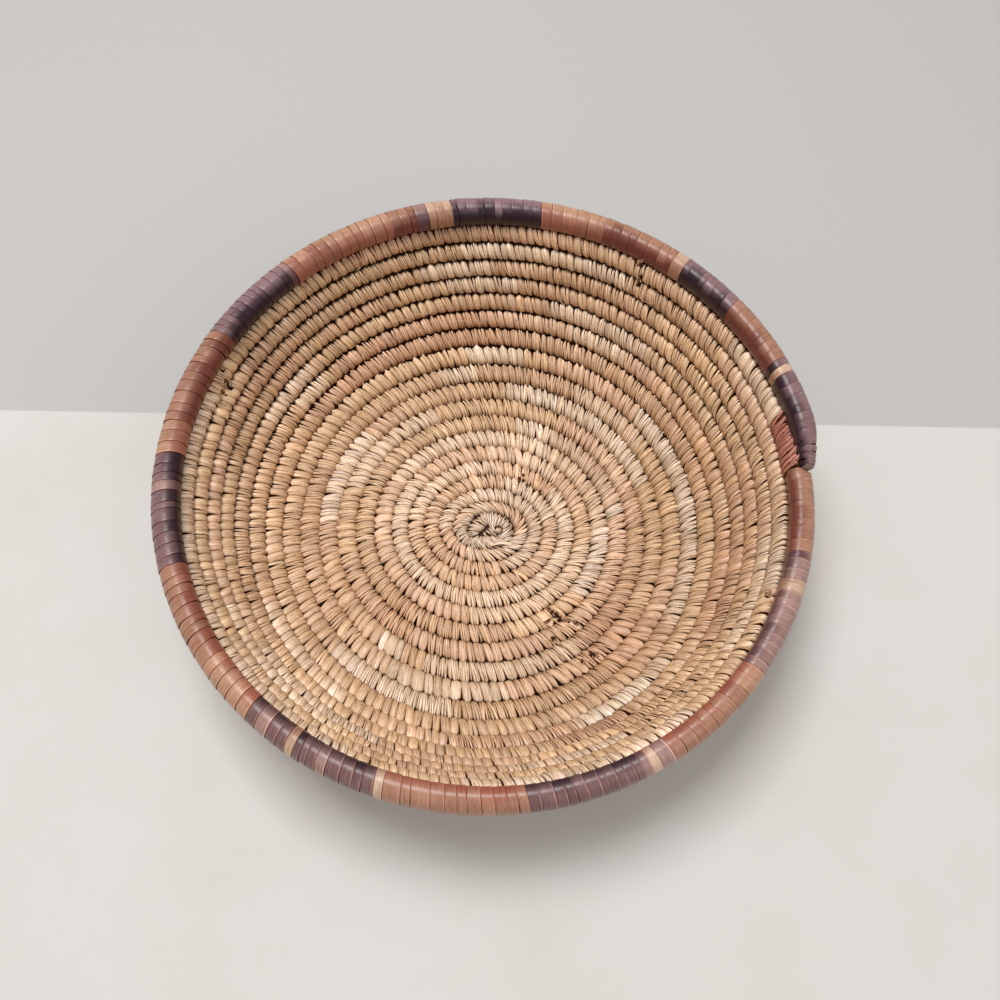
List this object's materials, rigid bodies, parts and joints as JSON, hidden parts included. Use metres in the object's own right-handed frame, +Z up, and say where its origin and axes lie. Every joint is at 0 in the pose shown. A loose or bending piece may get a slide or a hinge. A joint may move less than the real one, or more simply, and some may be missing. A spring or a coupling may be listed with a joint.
{
  "type": "coiled basket",
  "caption": "Shallow round coiled basket: a flared bowl of stitched plant-fibre rows with a thick rim bound in dyed strips, to hold bread, fruit or small things.",
  "frame": {"origin": "middle of the basket's flat underside, on the surface that it stands on, below the knot that the coil starts from", "axes": "+Z up out of the bowl; +X to the right and +Y away from the viewer as in the picture, so that the coil's end lies on the rim near +X"},
  "size_m": [0.3282, 0.3288, 0.0913],
  "materials": {
    "straw": "natural plant strips, matt to satin",
    "core": "undyed grass bundle, matt",
    "red_brown": "dyed palm strip, satin",
    "purple": "dyed palm strip, satin",
    "tan": "natural palm strip, satin"
  },
  "bodies": {
    "root": {"start_knot": "straw", "body_coil": "straw", "rim_core": "core", "rim_strip_01_red_brown": "red_brown", "rim_strip_02_purple": "purple", "rim_strip_03_tan": "tan", "rim_strip_04_purple": "purple", "rim_strip_05_red_brown": "red_brown", "rim_strip_06_purple": "purple", "rim_strip_07_tan": "tan", "rim_strip_08_purple": "purple", "rim_strip_09_red_brown": "red_brown", "rim_strip_10_tan": "tan", "rim_strip_11_purple": "purple", "rim_strip_12_tan": "tan", "rim_strip_13_purple": "purple", "rim_strip_14_red_brown": "red_brown", "rim_strip_15_purple": "purple", "rim_strip_16_red_brown": "red_brown", "rim_strip_17_purple": "purple", "rim_strip_18_red_brown": "red_brown", "rim_strip_19_purple": "purple", "rim_strip_20_tan": "tan", "rim_strip_21_purple": "purple", "rim_strip_22_red_brown": "red_brown", "rim_strip_23_tan": "tan", "rim_strip_24_purple": "purple", "rim_strip_25_red_brown": "red_brown", "rim_strip_26_purple": "purple", "rim_strip_27_tan": "tan", "rim_strip_28_purple": "purple"}
  },
  "joints": []
}
